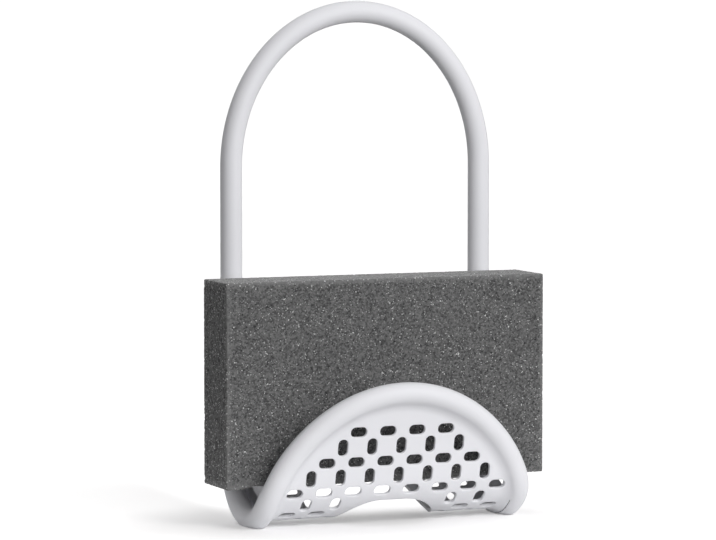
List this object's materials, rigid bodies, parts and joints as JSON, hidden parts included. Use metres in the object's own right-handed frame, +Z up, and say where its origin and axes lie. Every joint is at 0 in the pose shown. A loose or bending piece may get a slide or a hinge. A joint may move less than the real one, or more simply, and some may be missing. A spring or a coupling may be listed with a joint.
{
  "type": "sink caddy",
  "caption": "Free-standing sink caddy: a perforated cradle in a rolled rim, open to drain, holds a foam sponge under a bendable loop handle.",
  "frame": {"origin": "middle of the bounding box's base, on the surface that the caddy stands on", "axes": "+Z up, front panel toward -Y, +X to the right as seen from the front"},
  "size_m": [0.112, 0.0486, 0.1697],
  "materials": {
    "soft_touch": "matt soft-touch elastomer, off-white",
    "wire": "soft drawn armature wire, inside the handle",
    "foam": "open-cell foam, charcoal grey"
  },
  "bodies": {
    "cradle": {"cradle": "soft_touch", "sleeve_lower_left": "soft_touch", "sleeve_lower_right": "soft_touch", "sleeve_flex_left": "soft_touch", "sleeve_flex_right": "soft_touch", "wire_lower_left": "wire", "wire_lower_right": "wire", "wire_flex_left": "wire", "wire_flex_right": "wire"},
    "handle": {"sleeve_arch": "soft_touch", "wire_arch": "wire"},
    "sponge": {"sponge": "foam"}
  },
  "joints": [
    {"name": "handle_bend", "type": "hinge", "parent": "cradle", "child": "handle", "pos_m": [0, 0.02074, 0.094], "axis": [-1, 0, 0], "range_deg": [0, 90], "deforming": ["sleeve_flex_left", "sleeve_flex_right", "wire_flex_left", "wire_flex_right"]},
    {"name": "sponge_lift", "type": "slide", "parent": "cradle", "child": "sponge", "axis": [0, 0, 1], "range_m": [0, 0.07]}
  ]
}
